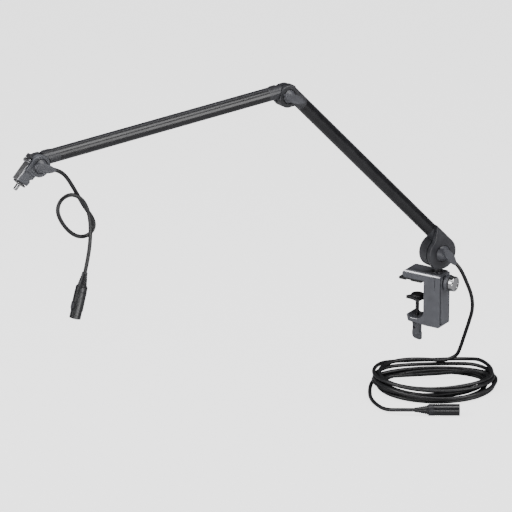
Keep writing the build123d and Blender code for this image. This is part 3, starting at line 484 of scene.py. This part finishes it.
turn_plan = [plan_point(step / TURN_POINTS) for step in range(int(TURNS * TURN_POINTS) + 1)]
for place in TAIL:
    x, y, _ = COIL_MIDDLE.inverted() @ (Vector(place) * MM)
    turn_plan.append(Vector((x, y, 0)))
turn_heights = settled(turn_plan)[: -len(TAIL)]
turn_points = [COIL_MIDDLE @ Vector((at.x, at.y, high)) for at, high in zip(turn_plan, turn_heights)]

# %% The long cable
long_route = [BASE_GLAND @ Vector((x * MM, 0, 0)) for x in (GLAND_LONG, GLAND_LONG + 12)]
long_route += [Vector(place) * MM for place in FALL]
long_route += turn_points
long_route += [Vector(place) * MM for place in TAIL]
long_route += [PLUG @ Vector((x * MM, 0, 0)) for x in (-22, 0)]
long_cable = lay_cable("long_cable", long_route, "base", ["drop_cable", "cable_coil", "tail_cable"])

# %% [markdown]
# ## Tools for round pieces
# Sleeves, threads and fluted rings are all round. A profile of edges spun about an axis makes the first, the
# same spin with a step along the axis makes the second, and pulling every other face out makes the third.

# %% Spin tools


def as_piece(name, mesh_tool, place, body, material, nodes=(), smooth=True):
    """Turns a bmesh built along +X in millimetres into a finished piece that rides on a body."""
    mesh = bpy.data.meshes.new(name)
    bmesh.ops.transform(mesh_tool, matrix=place @ Matrix.Scale(MM, 4), verts=mesh_tool.verts)
    bmesh.ops.recalc_face_normals(mesh_tool, faces=mesh_tool.faces)
    mesh_tool.to_mesh(mesh)
    mesh_tool.free()
    for face in mesh.polygons:
        face.use_smooth = smooth
    piece = bpy.data.objects.new(name, mesh)
    bpy.context.scene.collection.objects.link(piece)
    mesh.materials.append(FINISHES[material])
    if smooth:
        mesh.set_sharp_from_angle(angle=math.radians(40))
    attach(piece, body)
    if nodes:
        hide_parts(*nodes)
    print(name, "has", len(mesh.polygons), "faces")
    return piece


def profile(tool, points):
    """Edges through (x, radius) points, ready to spin about X."""
    corners = [tool.verts.new((x, 0, radius)) for x, radius in points]
    for first, second in zip(corners, corners[1:]):
        tool.edges.new((first, second))
    return corners


def spun(points, steps=48):
    tool = bmesh.new()
    profile(tool, points)
    bmesh.ops.spin(
        tool,
        geom=tool.verts[:] + tool.edges[:],
        cent=(0, 0, 0),
        axis=(1, 0, 0),
        angle=2 * math.pi,
        steps=steps,
        use_merge=True,
    )
    bmesh.ops.remove_doubles(tool, verts=tool.verts, dist=0.001)
    return tool


def thread(radius, depth, pitch, length, start):
    """Helical ridge along X: a small triangle carried round and forward at once."""
    tool = bmesh.new()
    low = radius - 0.05
    corners = [
        tool.verts.new((start, 0, low)),
        tool.verts.new((start + pitch * 0.5, 0, radius + depth)),
        tool.verts.new((start + pitch * 0.98, 0, low)),
    ]
    edges = [tool.edges.new(pair) for pair in ((corners[0], corners[1]), (corners[1], corners[2]))]
    turns = max(1, int(length / pitch) - 1)
    steps = 20 * turns
    bmesh.ops.spin(
        tool,
        geom=corners + edges,
        cent=(0, 0, 0),
        axis=(1, 0, 0),
        dvec=(pitch / 20, 0, 0),
        angle=2 * math.pi * turns,
        steps=steps,
    )
    return tool


# %% [markdown]
# ## Rubber boots on the two connectors
# Where the cable enters a connector, a tapered rubber boot spreads the bend. It has shallow grooves so that
# it flexes. Spinning one profile gives the taper and the grooves together.

# %% Boots
BOOT_LONG = 22.0


def boot_profile(entry, mouth, length, grooves):
    """From the lip round the cable, out along the taper with its grooves, and back in at the wide end."""
    points = [(0.0, 3.05), (0.0, entry - 0.4), (0.4, entry), (1.8, entry), (2.3, entry - 0.5)]
    step = (length - 6) / grooves
    for number in range(grooves):
        x = 3.2 + number * step
        r = blend(entry - 0.4, mouth, x / length)
        points += [(x, r - 0.1), (x + 0.3, r), (x + step * 0.62, r + 0.25), (x + step * 0.68, r - 0.35)]
        points += [(x + step * 0.95, r - 0.3)]
    points += [(length - 2.4, mouth - 0.1), (length - 0.4, mouth), (length, mouth - 0.4), (length, 3.05)]
    return points


for name, place, body, entry in (("socket", SOCKET, "upper_arm", 4.5), ("plug", PLUG, "base", 4.0)):
    tool = spun(boot_profile(entry, 7.7, BOOT_LONG, 5))
    as_piece(f"{name}_rubber_boot", tool, place, body, "black_rubber", [f"{name}_boot"])

# %% [markdown]
# ## Fluted rings
# The plug's rear ring is turned to open the connector, so it carries fine flutes. A circle is extruded into
# a band, its side faces are inset one by one, and the insets are pulled out a little.

# %% Fluted collar
COLLAR_LONG = 8.0
CONNECTOR_R = 9.5


def fluted(radius, bore, x0, x1, count, height):
    tool = bmesh.new()
    turn = Matrix.Rotation(math.radians(90), 4, "Y")
    bmesh.ops.create_circle(tool, segments=count, radius=radius - height, matrix=Matrix.Translation((x0, 0, 0)) @ turn)
    made = bmesh.ops.extrude_edge_only(tool, edges=tool.edges[:])
    bmesh.ops.translate(tool, vec=(x1 - x0, 0, 0), verts=[v for v in made["geom"] if isinstance(v, bmesh.types.BMVert)])
    sides = tool.faces[:]
    bmesh.ops.recalc_face_normals(tool, faces=sides)
    inset = bmesh.ops.inset_individual(tool, faces=sides, thickness=0.18 * (x1 - x0) / 8, depth=height)
    rims = [edge for edge in tool.edges if edge.is_boundary]
    for x in (x0, x1):
        ring = [edge for edge in rims if abs(edge.verts[0].co.x - x) < 0.01]
        made = bmesh.ops.extrude_edge_only(tool, edges=ring)
        inner = [v for v in made["geom"] if isinstance(v, bmesh.types.BMVert)]
        bmesh.ops.scale(tool, vec=(1, bore / (radius - height), bore / (radius - height)), verts=inner)
    return tool


plug_ring = as_piece(
    "plug_fluted_ring",
    fluted(CONNECTOR_R, 6.5, BOOT_LONG, BOOT_LONG + COLLAR_LONG, 60, 0.3),
    PLUG,
    "base",
    "black_plastic",
    ["plug_collar"],
)

# %% [markdown]
# ## Screw threads
# The clamp's spindle and the microphone stud are the two threads that show. Their cores are in the packed
# model. A thread is a ridge wound round the core, so a triangle spun with a step along the axis makes it.

# %% Threads
UPRIGHT = Matrix.Rotation(math.radians(-90), 4, "Y")
screw_low, screw_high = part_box("clamp_screw")
screw_long = (screw_high.z - screw_low.z) / MM
spindle_place = Matrix.Translation((0, 0, screw_low.z)) @ UPRIGHT
spindle = as_piece(
    "spindle_thread", thread(3.0, 0.02, 1.0, screw_long - 20, 20), spindle_place, "screw", "black_paint", smooth=False
)
STUD_START = 39.7
stud_place = HEAD @ shift(0, 0, 7.6)
stud = as_piece("stud_thread", thread(3.175, 0.35, 1.27, 10.5, STUD_START), stud_place, "mic_head", "chrome", smooth=False)

# %% Cable facts
tuple(lead_route[0])
tuple(long_route[0])

# %% [markdown]
# ## Floor and light
# The arm is black, so it only shows by what it reflects, and a white room would turn it grey. Studios light
# the paper and the object apart. Here the paper and the background glow only for the eye, while the object
# sees dim surroundings and four softboxes. The one overhead and the low strip in front draw two bright lines
# along each tube with a dark band between them. The strip leaves the floor out by light linking.

# %% Stage
PAPER_GLOW = 2.2
ROOM_GLOW = 0.07


def glow_for_the_eye(tree, glow):
    """Emission that the camera sees and the object doesn't reflect."""
    path = tree.nodes.new("ShaderNodeLightPath")
    strength = tree.nodes.new("ShaderNodeMath")
    strength.operation = "MULTIPLY"
    strength.inputs[1].default_value = glow
    tree.links.new(path.outputs["Is Camera Ray"], strength.inputs[0])
    return strength.outputs["Value"]


def paper(name, colour):
    material = bpy.data.materials.new(name)
    material.use_nodes = True
    shader = material.node_tree.nodes["Principled BSDF"]
    shader.inputs["Base Color"].default_value = (*colour, 1)
    shader.inputs["Roughness"].default_value = 0.9
    shader.inputs["Emission Color"].default_value = (1, 1, 1, 1)
    material.node_tree.links.new(glow_for_the_eye(material.node_tree, PAPER_GLOW), shader.inputs["Emission Strength"])
    return material


floor_tool = bmesh.new()
bmesh.ops.create_grid(floor_tool, x_segments=1, y_segments=1, size=30)
bmesh.ops.translate(floor_tool, vec=(0, 0, FLOOR), verts=floor_tool.verts)
floor_mesh = bpy.data.meshes.new("floor")
floor_tool.to_mesh(floor_mesh)
floor_tool.free()
floor = bpy.data.objects.new("floor", floor_mesh)
bpy.context.scene.collection.objects.link(floor)
floor_mesh.materials.append(paper("floor_paper", (0.42, 0.42, 0.43)))
floor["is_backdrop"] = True


def soft_light(name, azimuth, elevation, distance, size, power):
    light = bpy.data.lights.new(name, "AREA")
    light.shape = "RECTANGLE"
    light.size, light.size_y = size
    light.energy = power
    lamp = bpy.data.objects.new(name, light)
    bpy.context.scene.collection.objects.link(lamp)
    direction = look_from(azimuth, elevation)
    lamp.location = Vector((-0.1, -0.2, 0.1)) + direction * distance
    lamp.rotation_euler = direction.to_track_quat("Z", "Y").to_euler()
    lamp.visible_camera = False
    print(name, "at", [round(c, 2) for c in lamp.location])
    return lamp


soft_light("left_softbox", AZIMUTH - 66, 24, 2.2, (1.0, 1.4), 26)
soft_light("right_softbox", AZIMUTH + 66, 22, 2.2, (1.0, 1.4), 26)
soft_light("top_softbox", AZIMUTH, 84, 2.0, (2.8, 1.0), 52)
low_strip = soft_light("low_strip", AZIMUTH, -11, 1.25, (2.6, 0.34), 20)
spared = bpy.data.collections.new("not_lit_by_low_strip")
spared.objects.link(floor)
spared.collection_objects[0].light_linking.link_state = "EXCLUDE"
low_strip.light_linking.receiver_collection = spared
world = bpy.data.worlds.new("studio")
bpy.context.scene.world = world
world.use_nodes = True
background = world.node_tree.nodes["Background"]
background.inputs["Color"].default_value = (1, 1, 1, 1)
both = world.node_tree.nodes.new("ShaderNodeMath")
both.operation = "ADD"
both.inputs[1].default_value = ROOM_GLOW
world.node_tree.links.new(glow_for_the_eye(world.node_tree, PAPER_GLOW), both.inputs[0])
world.node_tree.links.new(both.outputs["Value"], background.inputs["Strength"])

# %% [markdown]
# ## Finish
# Both boxes are printed: the imported model's near the start and the visual model's here. The
# visual model has to stay inside the imported model's box.

# %% Sizes and finish
bpy.context.view_layer.update()
visual_box = [list(corner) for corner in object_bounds()]
print("visual model from", visual_box[0], "to", visual_box[1])
